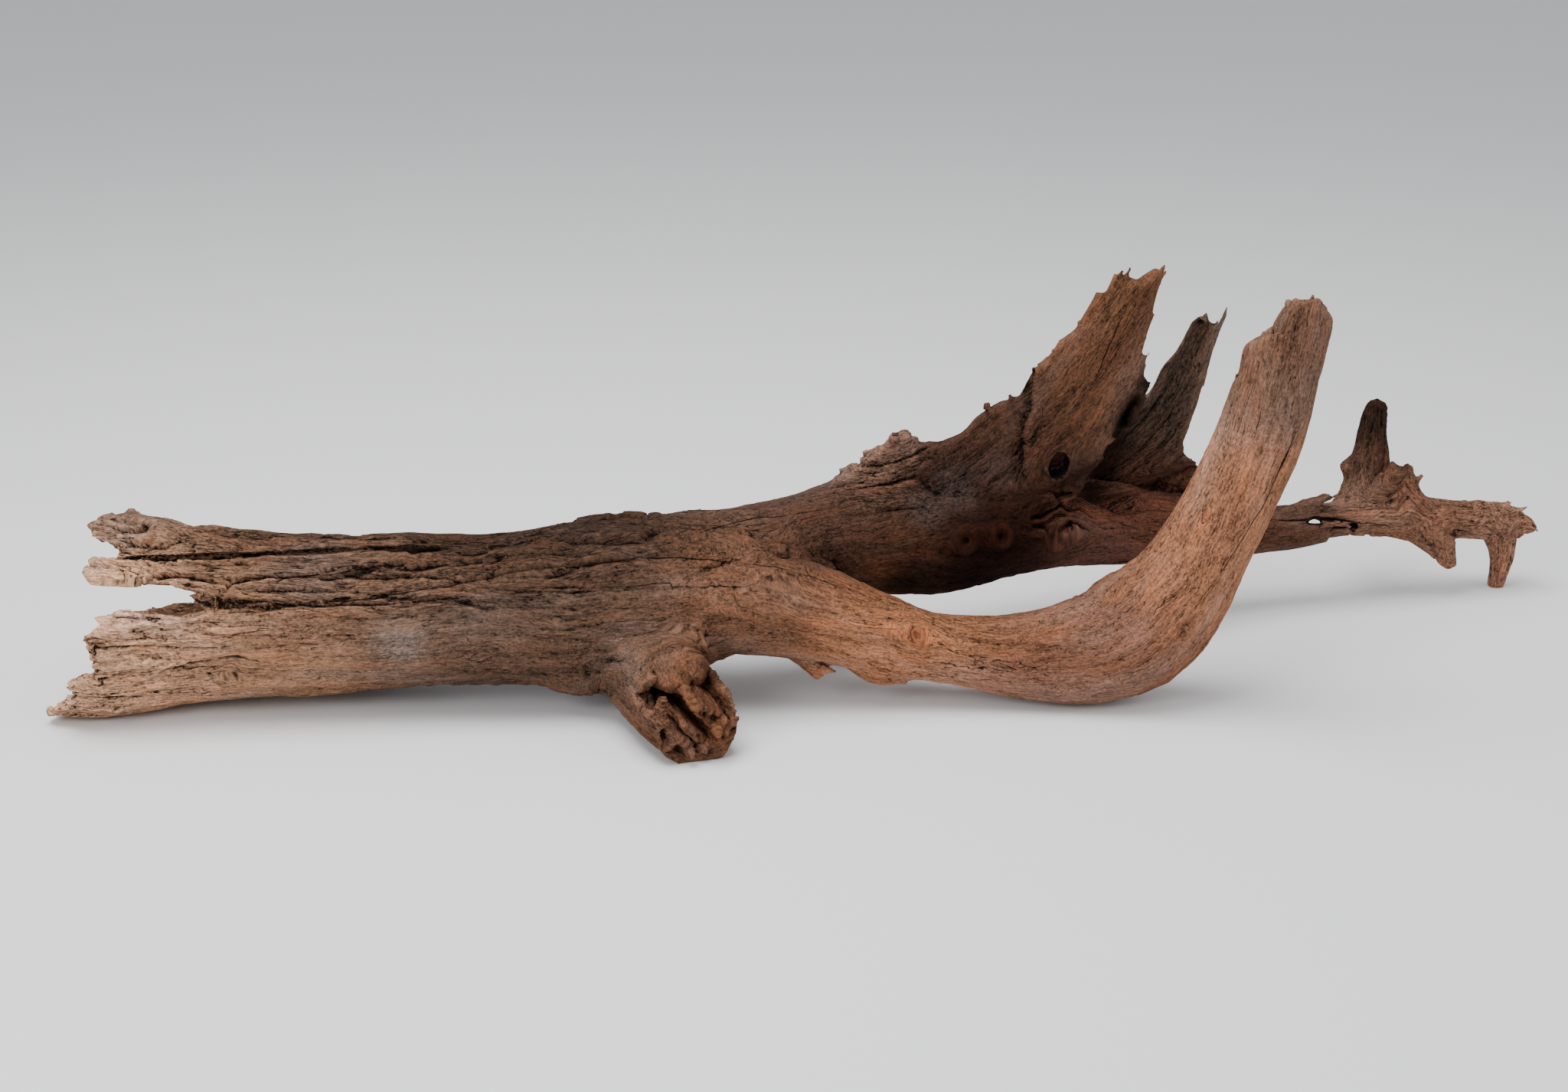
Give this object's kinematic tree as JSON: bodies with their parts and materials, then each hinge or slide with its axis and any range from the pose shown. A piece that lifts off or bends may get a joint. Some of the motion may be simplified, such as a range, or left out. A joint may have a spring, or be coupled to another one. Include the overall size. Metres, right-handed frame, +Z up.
{
  "type": "piece of driftwood",
  "caption": "Forked piece of weathered driftwood: a split trunk with a hooked front branch and a hollow back limb that carries torn upright slabs, resting on low points.",
  "frame": {"origin": "centre of the footprint of the bounding box, on the surface that the piece rests on", "axes": "+X along the trunk from the broken left end towards the far twig, +Y from the front branch towards the back limb, +Z up"},
  "size_m": [1.5559, 0.4993, 0.4224],
  "materials": {
    "weathered_wood": "dry, matte, fibrous weathered wood"
  },
  "bodies": {
    "root": {"driftwood": "weathered_wood"}
  },
  "joints": []
}
